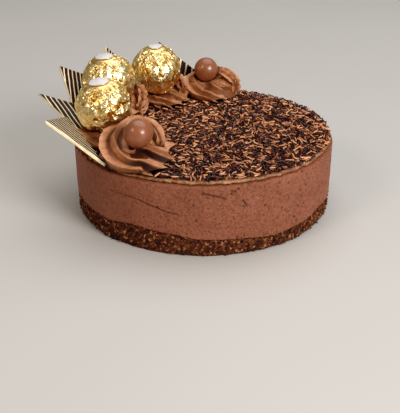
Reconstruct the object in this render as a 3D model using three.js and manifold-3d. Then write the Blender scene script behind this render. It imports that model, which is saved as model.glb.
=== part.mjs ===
// A round chocolate hazelnut cheesecake: crumb base, chocolate filling and a sprinkled top, with a
// crescent of piped rosettes that carries foil-wrapped chocolates, malt balls and striped shards.
// Millimetres. +Z is up, +Y is away from the viewer, and the origin is the middle of the underside.
import * as THREE from 'three';
import { mergeVertices } from 'three/addons/utils/BufferGeometryUtils.js';
import Module from 'manifold-3d';

const wasm = await Module();
wasm.setup();

// ---- driving dimensions -------------------------------------------------------------------------
const CAKE_RADIUS = 80;
const FILLING_TOP = 43;
const PIECE_GAP = 0.3;
const CAKE_SEGMENTS = 68;
// Edges shorter than this are merged where rosettes are cut.
const MESH_TOLERANCE = 0.02;
// Height of the crumb base at the rim, once every 15 degrees from the -X side round through -Y.
const CRUMB_LINE = [
  12.5, 13.0, 12.5, 12.3, 14.6, 13.2, 10.5, 9.8, 7.8, 9.0, 11.5, 9.5,
  10.5, 11.5, 9.8, 11.0, 12.4, 10.6, 9.6, 11.8, 12.2, 10.4, 11.2, 12.6,
];
const CRUMB = { insideHeight: 13, inset: 0.9, footInset: 1.6, topInset: 1.2, roughness: 0.55 };
// The crumb's upper face is level across SEAM.flatRim at the rim, then slopes to the inside height.
const SEAM = { flatRim: 3, slopeEnd: 64 };
// The filling's side, from its foot up: part of the way up, and how far it stands in from the rim.
const FILLING_SIDE = [[0, 0.3], [0.35, 0], [0.7, 0.1], [0.965, 0.2]];
const FILLING = { topInset: 1.3, waviness: 0.25 };

const CREAM_LAYER = { radius: 78.6, thickness: 1.7, waviness: 0.35 };
const SPRINKLE_BED = { radius: 77.2, thickness: 1.0, waviness: 0.5, bevel: 0.5 };
// lift is how far a strand's middle stands above the bed, and fieldRadius how far out they lie.
const SPRINKLE = { count: 286, length: [3.6, 5.8], radius: 0.68, lift: 0.22, fieldRadius: 74.5 };
// How far a strand's middle stays from any corner of a rosette's rope.
const SPRINKLE_CLEARANCE = 5.2;

const LAYER_BOTTOM = FILLING_TOP + PIECE_GAP;
const LAYER_TOP = LAYER_BOTTOM + CREAM_LAYER.thickness;
const BED_TOP = LAYER_TOP + SPRINKLE_BED.thickness;
const ROSETTE_FLOOR = BED_TOP + PIECE_GAP;

// The piped rope: corners of its star-shaped section, depth of its grooves, degrees it turns round
// the rosette, and how far it is rolled and then twists (radians) on the way.
const ROPE_CORNERS = 12;
const GROOVE_DEPTH = 0.3;
const ROPE_RINGS = 24;
const ROPE_TURN = 262;
const ROPE_ROLL = 0.55;
const ROPE_TWIST = 0.1;
// It rises, sinks and thins out between these parts of its length.
const ROPE_CLIMB = [0.1, 0.8];
const ROPE_SINK = [0.74, 1];
const ROPE_THINNING = 0.45;
// The corners from the first to the last of SKIRT reach down into the cream beneath.
const SKIRT = { corners: [7, 9], depth: 0.8 };
// Where piping began, the section is spread into a fan of leaves. Each corner is given by how far out
// it is, in rope radii, how high above the floor, and how far it stands out past the start, in mm.
const LEAF_TIPS = [
  [1.3, 1, -3.7], [0.73, 0.8, -7.7], [0.36, 1.9, 3.8], [-0.2, 2.1, 1.3],
  [-0.68, 3.1, 7.9], [-1.46, 4.1, 3.3], [-2.3, 5.7, 8.1], [-2.45, -0.8, 1.3],
  [-1.6, -0.8, 1.3], [-0.8, -0.8, 1.3], [0.05, -0.8, 0.3], [0.9, -0.8, -3.7],
];
const LEAVES = [
  [0.9, 3.4], [0.47, 2.3], [-0.05, 5.2], [-0.68, 4.4], [-1.32, 8], [-1.9, 7.2],
  [-2.45, 9.3], [-2.5, -0.8], [-1.7, -0.8], [-0.8, -0.8], [0.05, -0.8], [0.7, -0.8],
];
// The tips pass into the leaves by the first part of the length, and the leaves end by the second.
const FAN_PARTS = [0.17, 0.42];
const FAN_ROOT = { across: -0.7, up: 0.3, back: 2 };
// The cream inside the ring is a low cone that narrows to this share of its width.
const HEART_TAPER = 0.7;

// Rosettes from the front one round the left side to the back one. ring is the half-width of the
// rope's centreline along X and Y, and rope its radius. base is the height of the rope's middle where
// it starts, rise and fall how far it climbs and sinks again, and heart the height of the cream in the
// ring. turn is in degrees, and lead is the straight start in half-widths of the ring. lift and reach
// scale the leaves' heights and tips. A rosette lies over a neighbour of lower layer.
const ROSETTES = [
  {
    name: 'front', at: [-38, -47.5], ring: [12.8, 15], rope: 9.6, turn: 0, lead: 1.15,
    base: 45.4, rise: 12.3, fall: 5.5, heart: 8.6, lift: 1, reach: 1, layer: 4,
  },
  {
    name: 'front_left', at: [-55.5, -15.5], ring: [12.5, 18], rope: 8.6, turn: 25, lead: 0.6,
    base: 46.5, rise: 4, fall: 1, heart: 7, lift: 0.7, reach: 0.5, layer: 2,
  },
  {
    name: 'back_left', at: [-54, 24.5], ring: [13, 13.6], rope: 8, turn: -35, lead: 0.9,
    base: 47, rise: 11, fall: 7, heart: 7.4, lift: 0.9, reach: 0.7, layer: 1,
  },
  {
    name: 'back_middle', at: [-27, 56.6], ring: [13.5, 11.3], rope: 7.8, turn: -10, lead: 1,
    base: 47, rise: 7, fall: 3, heart: 7, lift: 0.8, reach: 0.8, layer: 2,
  },
  {
    name: 'back', at: [8, 63.6], ring: [15, 9.2], rope: 7.6, turn: -4, lead: 0.4,
    base: 51, rise: 7, fall: 4, heart: 9.2, lift: 1.2, reach: 0.6, layer: 3,
  },
];

const FOIL_RADIUS = 16.5;
const FOIL_CRUMPLE = 0.55;
// The foil is smooth under the sticker and fully crumpled this far down from the top, as 1 - cos.
const FOIL_SMOOTH_CAP = [0.06, 0.2];
// Each chocolate leans the way its top points; its sticker has two half-widths and a turn.
const FOIL_CHOCOLATES = [
  { name: 'front_left', at: [-59, -15.6, 66], top: [-0.1, -0.2, 1], sticker: [6.2, 4.9], turn: 8 },
  { name: 'back_left', at: [-59.9, 22.4, 70], top: [-0.11, -0.16, 1], sticker: [5.9, 4.7], turn: -4 },
  { name: 'back_middle', at: [-31.6, 56, 67], top: [0, -0.05, 1], sticker: [5.8, 4.7], turn: 82 },
];
const STICKER_THICKNESS = 0.3;

const MALT_RADIUS = 8.3;
const MALT_BALLS = [
  { name: 'front', at: [-36.2, -52.1, 62.5] },
  { name: 'back', at: [2.2, 67, 63.5] },
];

// Each shard is a triangle: the sharp outer corner, the end of its short edge, and the stuck-in tip.
const SHARD_THICKNESS = 1.8;
const SHARDS = [
  { name: 'front', corners: [[-85.5, -58, 72], [-79.9, -25, 62], [-54.2, -60.2, 46.9]] },
  { name: 'left', corners: [[-101.7, 6.1, 66], [-80.9, 5.2, 60], [-69.5, -25.4, 48.3]] },
  { name: 'back_left', corners: [[-92.4, 32, 76], [-73.6, 43.6, 65], [-76, -7, 48.2]] },
  { name: 'back', corners: [[-64.2, 50, 84], [-50.8, 68.4, 64], [-61.5, 40.5, 48.5]] },
  { name: 'back_middle', corners: [[-31, 79.9, 80], [-4.8, 81.6, 58.3], [-31, 71, 48.5]] },
];

// ---- materials ----------------------------------------------------------------------------------
function matte(colour, roughness = 0.8) {
  return new THREE.MeshStandardMaterial({ color: colour, roughness, metalness: 0 });
}

const MATERIALS = {
  crumb: matte(0x2c1913, 0.95),
  filling: matte(0x6a4135, 0.75),
  topping: matte(0x7a5138, 0.7),
  cream: matte(0x85563f, 0.65),
  foil: new THREE.MeshStandardMaterial({ color: 0xd9ab4e, roughness: 0.25, metalness: 1 }),
  sticker: matte(0xf2f0ea, 0.5),
  malt: matte(0x7a4430, 0.28),
  shard: matte(0xe9d6b0, 0.45),
};

// ---- small helpers ------------------------------------------------------------------------------
function radians(degrees) {
  return THREE.MathUtils.degToRad(degrees);
}

// A repeatable random generator, so that every build gives the same cake.
function randomFrom(seed) {
  let state = seed >>> 0;
  return () => {
    state = (state + 0x6d2b79f5) >>> 0;
    let value = Math.imul(state ^ (state >>> 15), 1 | state);
    value = (value + Math.imul(value ^ (value >>> 7), 61 | value)) ^ value;
    return ((value ^ (value >>> 14)) >>> 0) / 4294967296;
  };
}

// A smooth wave with no repeat that shows, between about -1 and 1.
function wave(angle, seed) {
  const slow = Math.sin(3 * angle + seed) + 0.7 * Math.sin(5 * angle + 2.3 * seed);
  const quick = 0.5 * Math.sin(11 * angle + 4.1 * seed) + 0.4 * Math.sin(17 * angle + 0.7 * seed);
  return (slow + quick) / 2.1;
}

function indexedGeometry(points, faces) {
  const geometry = new THREE.BufferGeometry();
  const flat = points.flatMap((p) => [p.x, p.y, p.z]);
  geometry.setAttribute('position', new THREE.Float32BufferAttribute(flat, 3));
  geometry.setIndex(faces.flat());
  return geometry;
}

function toManifold(geometry) {
  const bare = geometry.clone();
  bare.deleteAttribute('normal');
  bare.deleteAttribute('uv');
  const merged = mergeVertices(bare, 1e-4);
  const vertProperties = Float32Array.from(merged.attributes.position.array);
  const triVerts = Uint32Array.from(merged.index.array);
  return new wasm.Manifold(new wasm.Mesh({ numProp: 3, vertProperties, triVerts }));
}

function toGeometry(solid) {
  const mesh = solid.getMesh();
  const geometry = new THREE.BufferGeometry();
  const positions = Float32Array.from(mesh.vertProperties);
  geometry.setAttribute('position', new THREE.BufferAttribute(positions, 3));
  geometry.setIndex([...mesh.triVerts]);
  return geometry;
}

function named(name, geometry, material) {
  const mesh = new THREE.Mesh(geometry, material);
  mesh.name = name;
  return mesh;
}

// ---- layers of the cake -------------------------------------------------------------------------
// A round layer between two surfaces. rings runs from the middle of the underside, out, up the side
// and back to the middle of the top. Each ring is a function of the angle that gives [radius, height];
// the first and last give the two middle points. The squares between rings split the same way on an
// upper surface as on a lower one, so that two layers meet evenly.
function roundLayer(rings, segments) {
  const points = [];
  const faces = [];
  const last = rings.length - 1;
  const middle = (ring) => new THREE.Vector3(0, 0, ring(0)[1]);
  points.push(middle(rings[0]));
  for (const ring of rings.slice(1, last)) {
    for (let i = 0; i < segments; i += 1) {
      const angle = (i / segments) * 2 * Math.PI;
      const [radius, height] = ring(angle);
      points.push(new THREE.Vector3(radius * Math.cos(angle), radius * Math.sin(angle), height));
    }
  }
  points.push(middle(rings[last]));
  const index = (ring, i) => 1 + (ring - 1) * segments + (i % segments);
  const top = points.length - 1;
  for (let i = 0; i < segments; i += 1) {
    faces.push([0, index(1, i + 1), index(1, i)]);
    for (let ring = 1; ring < last - 1; ring += 1) {
      const [a, b] = [index(ring, i), index(ring, i + 1)];
      const [c, d] = [index(ring + 1, i + 1), index(ring + 1, i)];
      const inward = rings[ring + 1](0)[0] < rings[ring](0)[0];
      faces.push(...(inward ? [[a, b, d], [b, c, d]] : [[a, b, c], [a, c, d]]));
    }
    faces.push([index(last - 1, i), index(last - 1, i + 1), top]);
  }
  return indexedGeometry(points, faces);
}

// Height of the crumb base at the rim, smoothly joined between the stated heights.
function crumbLine(angle) {
  const count = CRUMB_LINE.length;
  const place = (((angle / Math.PI + 1) / 2) * count + count) % count;
  const from = Math.floor(place) % count;
  const part = THREE.MathUtils.smoothstep(place - Math.floor(place), 0, 1);
  return THREE.MathUtils.lerp(CRUMB_LINE[from], CRUMB_LINE[(from + 1) % count], part);
}

function crumbBase() {
  const rough = (level) => (angle) => {
    const inset = { 0: CRUMB.footInset, 3: CRUMB.topInset }[level] ?? CRUMB.inset;
    const radius = CAKE_RADIUS - inset + CRUMB.roughness * wave(7 * angle, 3 * level + 1);
    return [radius, (level / 3) * crumbLine(angle)];
  };
  const rings = [
    () => [0, 0],
    () => [CAKE_RADIUS / 2, 0],
    rough(0),
    rough(1),
    rough(2),
    rough(3),
    (angle) => [CAKE_RADIUS - SEAM.flatRim, crumbLine(angle)],
    () => [SEAM.slopeEnd, CRUMB.insideHeight],
    () => [0, CRUMB.insideHeight],
  ];
  return named('crumb_base', roundLayer(rings, CAKE_SEGMENTS), MATERIALS.crumb);
}

function filling() {
  const side = (part, inset) => (angle) => {
    const foot = crumbLine(angle) + PIECE_GAP;
    const radius = CAKE_RADIUS - inset + FILLING.waviness * wave(angle, 5 + part);
    return [radius, THREE.MathUtils.lerp(foot, FILLING_TOP, part)];
  };
  const rings = [
    () => [0, CRUMB.insideHeight + PIECE_GAP],
    () => [SEAM.slopeEnd, CRUMB.insideHeight + PIECE_GAP],
    (angle) => [CAKE_RADIUS - SEAM.flatRim, crumbLine(angle) + PIECE_GAP],
    ...FILLING_SIDE.map(([part, inset]) => side(part, inset)),
    side(1, FILLING.topInset),
    () => [0, FILLING_TOP],
  ];
  return named('filling', roundLayer(rings, CAKE_SEGMENTS), MATERIALS.filling);
}

// ---- sprinkled top ------------------------------------------------------------------------------
// Strands keep clear of every point of a rope and of the cream in its ring.
function rosetteMarks() {
  const shares = [1, 0.4];
  const inner = (settings, share) => ({ ...settings, ring: settings.ring.map((half) => half * share) });
  const sections = ROSETTES.flatMap((settings) => {
    return shares.flatMap((share) => ropeRings(inner(settings, share)));
  });
  return sections.flatMap(({ corners }) => corners.map(({ x, y }) => [x, y]));
}

// One chocolate strand: a four-sided rod that lies on the bed, an edge up.
function sprinkleRod(length) {
  const rod = new THREE.CylinderGeometry(SPRINKLE.radius, SPRINKLE.radius, length, 4, 1);
  rod.rotateZ(Math.PI / 2);
  return rod;
}

function topping() {
  const random = randomFrom(31);
  const radiusOf = ({ radius, waviness }, seed) => (angle) => radius + waviness * wave(angle, seed);
  const layerEdge = radiusOf(CREAM_LAYER, 8);
  const bedEdge = radiusOf(SPRINKLE_BED, 9);
  const rings = [
    () => [0, LAYER_BOTTOM],
    (angle) => [layerEdge(angle), LAYER_BOTTOM],
    (angle) => [layerEdge(angle), LAYER_TOP],
    (angle) => [bedEdge(angle), LAYER_TOP],
    (angle) => [bedEdge(angle) - SPRINKLE_BED.bevel, BED_TOP],
    () => [0, BED_TOP],
  ];
  let solid = toManifold(roundLayer(rings, CAKE_SEGMENTS));
  const goldenAngle = radians(137.508);
  const rods = [];
  const marks = rosetteMarks();
  for (let i = 0; i < SPRINKLE.count; i += 1) {
    const reach = SPRINKLE.fieldRadius * Math.sqrt((i + 0.5) / SPRINKLE.count);
    const x = reach * Math.cos(i * goldenAngle);
    const y = reach * Math.sin(i * goldenAngle);
    const length = THREE.MathUtils.lerp(...SPRINKLE.length, random());
    const turn = random() * Math.PI;
    if (marks.some((mark) => Math.hypot(x - mark[0], y - mark[1]) < SPRINKLE_CLEARANCE)) continue;
    const rod = sprinkleRod(length);
    rod.rotateZ(turn);
    rod.translate(x, y, BED_TOP + SPRINKLE.lift);
    rods.push(toManifold(rod));
  }
  solid = wasm.Manifold.union([solid, ...rods]);
  return named('sprinkled_top', toGeometry(solid), MATERIALS.topping);
}

// ---- striped chocolate shards -------------------------------------------------------------------
// The same triangle pushed outward by grow on every side, about the centre of its inner circle.
function grownTriangle(corners, grow) {
  const [a, b, c] = corners;
  const sides = [b.distanceTo(c), c.distanceTo(a), a.distanceTo(b)];
  const around = sides[0] + sides[1] + sides[2];
  const centre = new THREE.Vector3();
  corners.forEach((corner, i) => centre.addScaledVector(corner, sides[i] / around));
  const area = new THREE.Triangle(a, b, c).getArea();
  const scale = 1 + grow / ((2 * area) / around);
  return corners.map((corner) => corner.clone().sub(centre).multiplyScalar(scale).add(centre));
}

function shardGeometry({ corners }, grow = 0) {
  const given = corners.map((corner) => new THREE.Vector3(...corner));
  const normal = new THREE.Triangle(...given).getNormal(new THREE.Vector3());
  const outline = grownTriangle(given, grow);
  const half = SHARD_THICKNESS / 2 + grow;
  const upper = outline.map((corner) => corner.clone().addScaledVector(normal, half));
  const lower = outline.map((corner) => corner.clone().addScaledVector(normal, -half));
  const faces = [[0, 1, 2], [3, 5, 4]];
  for (let i = 0; i < 3; i += 1) {
    const next = (i + 1) % 3;
    faces.push([i, i + 3, next + 3], [i, next + 3, next]);
  }
  return indexedGeometry([...upper, ...lower], faces);
}

// ---- foil-wrapped chocolates and malt balls -----------------------------------------------------
// Foil crumples into facets, except where the sticker lies smooth on the top.
function foilRadius(direction, seed) {
  const { x, y, z } = direction;
  const folds = Math.sin(9 * x + seed) + Math.sin(8 * y + 2 * seed) + Math.sin(10 * z + 3 * seed);
  const creases = Math.sin(17 * (x - y) + seed) + Math.sin(19 * (y + z) - seed);
  const awayFromTop = THREE.MathUtils.smoothstep(1 - z, ...FOIL_SMOOTH_CAP);
  return FOIL_RADIUS + (FOIL_CRUMPLE * awayFromTop * (0.6 * folds + 0.5 * creases)) / 2;
}

function foilBall(name, order) {
  const geometry = new THREE.IcosahedronGeometry(1, 3);
  const position = geometry.attributes.position;
  const direction = new THREE.Vector3();
  for (let i = 0; i < position.count; i += 1) {
    direction.fromBufferAttribute(position, i).normalize();
    direction.multiplyScalar(foilRadius(direction, order + 1));
    position.setXYZ(i, direction.x, direction.y, direction.z);
  }
  return named(`foil_chocolate_${name}`, toGeometry(toManifold(geometry)), MATERIALS.foil);
}

// An oval disc that follows the ball's round top.
function sticker(name, [halfLength, halfWidth], turn) {
  const inner = FOIL_RADIUS + PIECE_GAP;
  const outer = inner + STICKER_THICKNESS;
  const ring = (part, radius) => (angle) => {
    const across = part * Math.hypot(halfLength * Math.cos(angle), halfWidth * Math.sin(angle));
    return [across, Math.sqrt(radius ** 2 - across ** 2)];
  };
  const rings = [
    ring(0, inner), ring(0.5, inner), ring(1, inner),
    ring(1, outer), ring(0.5, outer), ring(0, outer),
  ];
  const mesh = named(`sticker_${name}`, roundLayer(rings, 16), MATERIALS.sticker);
  mesh.rotation.z = radians(turn);
  return mesh;
}

function foilChocolate({ name, at, top, sticker: halfWidths, turn }, order) {
  const chocolate = new THREE.Group();
  chocolate.add(foilBall(name, order), sticker(name, halfWidths, turn));
  chocolate.position.set(...at);
  const upright = new THREE.Vector3(0, 0, 1);
  chocolate.quaternion.setFromUnitVectors(upright, new THREE.Vector3(...top).normalize());
  return chocolate;
}

function maltBall({ name, at }) {
  const geometry = new THREE.SphereGeometry(MALT_RADIUS, 18, 11);
  const mesh = named(`malt_ball_${name}`, toGeometry(toManifold(geometry)), MATERIALS.malt);
  mesh.position.set(...at);
  return mesh;
}

function seat(at, radius) {
  const geometry = new THREE.SphereGeometry(radius, 22, 14);
  geometry.translate(...at);
  return toManifold(geometry);
}

// ---- piped rosettes -----------------------------------------------------------------------------
function mix(from, to, share) {
  return THREE.MathUtils.lerp(from, to, share);
}

// Where the rope's centreline is, on a circle of radius 1: straight in from the right of the front,
// then clockwise as seen from above. part runs from 0 at the start to 1 at the far end.
function ropeRoute(part, lead) {
  const along = part * (lead + radians(ROPE_TURN));
  const straight = Math.max(lead - along, 0);
  const angle = -Math.PI / 2 - Math.max(along - lead, 0);
  return new THREE.Vector3(Math.cos(angle) + straight, Math.sin(angle), 0);
}

// One corner of the star that the nozzle leaves: how far it is across the rope, and its height.
function starCorner(corner, part, { rope: radius, base, rise, fall }) {
  const climb = THREE.MathUtils.smoothstep(part, ...ROPE_CLIMB) ** 1.3;
  const height = base + rise * climb - fall * THREE.MathUtils.smoothstep(part, ...ROPE_SINK);
  const taper = 1 - ROPE_THINNING * THREE.MathUtils.smoothstep(part, 0.8, 1);
  const reach = radius * taper * (corner % 2 === 0 ? 1 : 1 - GROOVE_DEPTH);
  const angle = (corner / ROPE_CORNERS) * 2 * Math.PI + ROPE_ROLL + ROPE_TWIST * part;
  const inSkirt = corner >= SKIRT.corners[0] && corner <= SKIRT.corners[1];
  const natural = height + reach * Math.sin(angle);
  const up = inSkirt ? Math.min(natural, ROSETTE_FLOOR - SKIRT.depth) : natural;
  return [reach * Math.cos(angle), up];
}

// The same corner with the fan of leaves mixed in near the start, and how far it stands out there.
function ropeCorner(corner, part, settings) {
  const tipShare = 1 - THREE.MathUtils.smoothstep(part, 0, FAN_PARTS[0]);
  const fanShare = 1 - THREE.MathUtils.smoothstep(part, ...FAN_PARTS);
  const [tipAcross, tipUp, tipOut] = LEAF_TIPS[corner];
  const [leafAcross, leafUp] = LEAVES[corner];
  const fanAcross = settings.rope * mix(leafAcross, tipAcross, tipShare);
  const fanUp = ROSETTE_FLOOR + settings.lift * mix(leafUp, tipUp, tipShare);
  const [starAcross, starUp] = starCorner(corner, part, settings);
  return {
    across: mix(starAcross, fanAcross, fanShare),
    up: mix(starUp, fanUp, fanShare),
    out: settings.reach * tipOut * tipShare,
  };
}

// Puts a point given along, across and above the rope in its place on the cake.
function ropeFrame(part, { at, ring, turn, lead }) {
  const upright = new THREE.Vector3(0, 0, 1);
  const placed = (where) => {
    const point = ropeRoute(where, lead).multiply(new THREE.Vector3(...ring, 1));
    return point.applyAxisAngle(upright, radians(turn));
  };
  const middle = placed(part).add(new THREE.Vector3(...at, 0));
  const forward = placed(part + 0.01).sub(placed(part - 0.01)).normalize();
  const outward = new THREE.Vector3(-forward.y, forward.x, 0);
  return ({ across, up, out }) => {
    const point = middle.clone().addScaledVector(outward, across).addScaledVector(forward, -out);
    return point.setZ(up);
  };
}

// The middle of the section: inside the star, and low in the leaves.
function ropeMiddle(part, settings) {
  const fanShare = 1 - THREE.MathUtils.smoothstep(part, ...FAN_PARTS);
  const [, low] = starCorner(0, part, { ...settings, rope: 0 });
  return {
    across: fanShare * FAN_ROOT.across * settings.rope,
    up: mix(low, ROSETTE_FLOOR + FAN_ROOT.up, fanShare),
    out: part === 0 ? -FAN_ROOT.back : 0,
  };
}

function ropeRings(settings) {
  return Array.from({ length: ROPE_RINGS }, (_, i) => {
    const part = i / (ROPE_RINGS - 1);
    const place = ropeFrame(part, settings);
    const corners = Array.from({ length: ROPE_CORNERS }, (_, corner) => {
      return place(ropeCorner(corner, part, settings));
    });
    return { middle: place(ropeMiddle(part, settings)), corners };
  });
}

// The rope is joined from wedges, each between two sections and two neighbouring corners.
function rope(settings) {
  const rings = ropeRings(settings);
  const wedges = [];
  for (let i = 0; i < ROPE_RINGS - 1; i += 1) {
    for (let corner = 0; corner < ROPE_CORNERS; corner += 1) {
      const next = (corner + 1) % ROPE_CORNERS;
      const points = [rings[i], rings[i + 1]].flatMap(({ middle, corners }) => {
        return [middle, corners[corner], corners[next]].map((p) => p.toArray());
      });
      wedges.push(wasm.Manifold.hull(points));
    }
  }
  return wasm.Manifold.union(wedges);
}

function rosetteHeart({ at, ring, turn, heart }) {
  const geometry = new THREE.CylinderGeometry(HEART_TAPER, 1, 1, 14, 1);
  geometry.rotateX(Math.PI / 2);
  geometry.scale(ring[0], ring[1], heart);
  geometry.rotateZ(radians(turn));
  geometry.translate(at[0], at[1], ROSETTE_FLOOR + heart / 2);
  return toManifold(geometry);
}

// The whole rosette before anything is cut from it, made larger by grow all round.
function pipedCream(settings, grow = 0) {
  const grown = {
    ...settings,
    ring: settings.ring.map((half) => half + grow / 2),
    rope: settings.rope + grow,
    base: settings.base + grow / 2,
    heart: settings.heart + grow,
    lift: settings.lift + grow / 8,
  };
  const solid = rope(grown).add(rosetteHeart(grown));
  return solid.trimByPlane([0, 0, 1], ROSETTE_FLOOR);
}

function rosette(settings, order) {
  const neighbours = [ROSETTES[order - 1], ROSETTES[order + 1]];
  const above = neighbours.filter((other) => other && other.layer > settings.layer);
  const cuts = [
    ...above.flatMap((other) => [pipedCream(other, PIECE_GAP), pipedCream(other)]),
    ...FOIL_CHOCOLATES.map(({ at }) => seat(at, FOIL_RADIUS + FOIL_CRUMPLE + 2 * PIECE_GAP)),
    ...MALT_BALLS.map(({ at }) => seat(at, MALT_RADIUS + 2 * PIECE_GAP)),
    ...SHARDS.map((shard) => toManifold(shardGeometry(shard, PIECE_GAP))),
  ];
  let solid = pipedCream(settings);
  for (const cut of cuts) solid = solid.subtract(cut);
  const tidy = largestPiece(solid).simplify(MESH_TOLERANCE);
  return named(`rosette_${settings.name}`, toGeometry(tidy), MATERIALS.cream);
}

// A cut can leave a loose scrap, which is dropped.
function largestPiece(solid) {
  const pieces = solid.decompose();
  return pieces.reduce((best, piece) => (piece.volume() > best.volume() ? piece : best));
}

// ---- the cake -----------------------------------------------------------------------------------
const group = new THREE.Group();
group.add(crumbBase(), filling(), topping());
ROSETTES.forEach((settings, order) => group.add(rosette(settings, order)));
FOIL_CHOCOLATES.forEach((settings, order) => group.add(foilChocolate(settings, order)));
MALT_BALLS.forEach((settings) => group.add(maltBall(settings)));
SHARDS.forEach((shard) => {
  group.add(named(`striped_shard_${shard.name}`, shardGeometry(shard), MATERIALS.shard));
});

export default group;
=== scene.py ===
"""Looks of a round chocolate hazelnut cheesecake: crumb base, mousse filling, strand-covered top,
piped rosettes, foil-wrapped chocolates, malt balls and striped shards. Lengths in the tables below
are millimetres; meshes are written in metres. +Z up, +Y away from the viewer."""
from math import cos, pi, radians, sin, sqrt
import bmesh
import bpy
import numpy as np
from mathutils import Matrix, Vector


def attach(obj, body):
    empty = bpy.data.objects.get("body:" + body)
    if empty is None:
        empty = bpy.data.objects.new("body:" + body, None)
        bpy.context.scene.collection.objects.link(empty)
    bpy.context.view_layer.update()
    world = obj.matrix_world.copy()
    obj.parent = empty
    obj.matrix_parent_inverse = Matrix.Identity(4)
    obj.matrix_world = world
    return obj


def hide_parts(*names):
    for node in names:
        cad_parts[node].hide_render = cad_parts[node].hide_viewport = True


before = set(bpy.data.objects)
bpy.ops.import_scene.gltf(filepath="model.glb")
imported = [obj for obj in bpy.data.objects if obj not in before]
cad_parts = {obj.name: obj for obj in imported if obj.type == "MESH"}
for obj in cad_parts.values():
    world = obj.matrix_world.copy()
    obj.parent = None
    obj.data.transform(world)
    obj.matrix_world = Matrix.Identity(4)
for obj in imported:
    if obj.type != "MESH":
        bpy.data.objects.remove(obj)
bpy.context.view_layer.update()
MM = 0.001
join = np.concatenate


def table(keys, *rows):
    return [dict(zip(keys.split(), row)) for row in rows]


# ---- driving dimensions, as the solids' but for back_middle's rise and fall ----
CAKE_RADIUS = 80.0
FILLING_TOP = 43.0
GAP = 0.3
CRUMB_LINE = [
    12.5, 13.0, 12.5, 12.3, 14.6, 13.2, 10.5, 9.8, 7.8, 9.0, 11.5, 9.5,
    10.5, 11.5, 9.8, 11.0, 12.4, 10.6, 9.6, 11.8, 12.2, 10.4, 11.2, 12.6,
]
CORE_RADIUS = 64.0
CORE_TOP = 13.0
LAYER_TOP = 45.0
ROSETTE_FLOOR = 46.3
# at: the middle on the floor. ring: half-widths of the rope's route, and 1 for the height. base, rise, fall:
# height of the rope's middle where it starts, and how far it climbs and sinks again. lift and reach scale
# the leaves' heights and tips. A rosette lies over a neighbour of lower layer. torn is how ragged the cream
# is, and shade how strong the shade painted on its cream is.
ROSETTES = table(
    "name at ring rope turn lead base rise fall heart lift reach layer torn shade",
    ("front", (-38, -47.5, 0), (12.8, 15, 1), 9.6, 0, 1.15, 45.4, 12.3, 5.5, 8.6, 1, 1, 4, 0.15, 1),
    ("front_left", (-55.5, -15.5, 0), (12.5, 18, 1), 8.6, 25, 0.6, 46.5, 4, 1, 7, 0.7, 0.5, 2, 0.3, 0.8),
    ("back_left", (-54, 24.5, 0), (13, 13.6, 1), 8, -35, 0.9, 47, 11, 7, 7.4, 0.9, 0.7, 1, 1.1, 0.85),
    ("back_middle", (-27, 56.6, 0), (13.5, 11.3, 1), 7.8, -10, 1, 47, 8.5, 2.5, 7, 0.8, 0.8, 2, 1.3, 0.75),
    ("back", (8, 63.6, 0), (15, 9.2, 1), 7.6, -4, 0.4, 51, 7, 4, 9.2, 1.2, 0.6, 3, 0.45, 0.78),
)
# top: the way the foil ball's top leans. sticker and turn: the oval's half-widths and its direction.
FOIL_RADIUS = 16.5
FOILS = table(
    "name at top sticker turn",
    ("front_left", (-59, -15.6, 66), (-0.1, -0.2, 1), (6.2, 4.9), 8),
    ("back_left", (-59.9, 22.4, 70), (-0.11, -0.16, 1), (5.9, 4.7), -4),
    ("back_middle", (-31.6, 56, 67), (0, -0.05, 1), (5.8, 4.7), 82),
)
MALT_RADIUS = 8.3
MALTS = table("name at", ("front", (-36.2, -52.1, 62.5)), ("back", (2.2, 67, 63.5)))
# Middle and radius of each place that the cream keeps clear for a ball.
SEATS = [(b["at"], FOIL_RADIUS + 0.95) for b in FOILS] + [(b["at"], MALT_RADIUS + 0.35) for b in MALTS]
# Corners of each plate, and the pitch of its stripes.
SHARD_THICKNESS = 1.8
SHARDS = table(
    "name corners pitch",
    ("front", ((-85.5, -58, 72), (-79.9, -25, 62), (-54.2, -60.2, 46.9)), 3.5),
    ("left", ((-101.7, 6.1, 66), (-80.9, 5.2, 60), (-69.5, -25.4, 48.3)), 2.8),
    ("back_left", ((-92.4, 32, 76), (-73.6, 43.6, 65), (-76, -7, 48.2)), 3.0),
    ("back", ((-64.2, 50, 84), (-50.8, 68.4, 64), (-61.5, 40.5, 48.5)), 3.0),
    ("back_middle", ((-31, 79.9, 80), (-4.8, 81.6, 58.3), (-31, 71, 48.5)), 4.6),
)


# ---- repeatable noise ----
def lattice(cell, seed):
    """A random number in 0..1 for each whole-numbered cell."""
    x, y, z = np.moveaxis(cell, -1, 0)
    h = ((x * 73856093) ^ (y * 19349663) ^ (z * 83492791) ^ (seed * 40503 + 977)) & 0xFFFFFFFF
    h = ((h ^ (h >> 15)) * 2246822519) & 0xFFFFFFFF
    h = ((h ^ (h >> 13)) * 3266489917) & 0xFFFFFFFF
    return ((h ^ (h >> 16)) & 0xFFFFFF) / 0xFFFFFF


def smooth_noise(p, size, seed):
    """Soft random hills about size across, between -1 and 1."""
    q = p / size + seed * 7.31
    base = np.floor(q).astype(np.int64)
    f = q - base
    f = f * f * f * (f * (f * 6 - 15) + 10)
    total = np.zeros(len(p))
    for corner in np.ndindex(2, 2, 2):
        weight = np.ones(len(p))
        for axis in range(3):
            weight = weight * (f[:, axis] if corner[axis] else 1 - f[:, axis])
        total += weight * lattice(base + corner, seed)
    return total * 2 - 1


def rough_noise(p, size, seed, octaves=4, fade=0.5):
    total = np.zeros(len(p))
    for octave in range(octaves):
        total += fade ** octave * smooth_noise(p, size / 2 ** octave, seed + 13 * octave)
    return total


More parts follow.
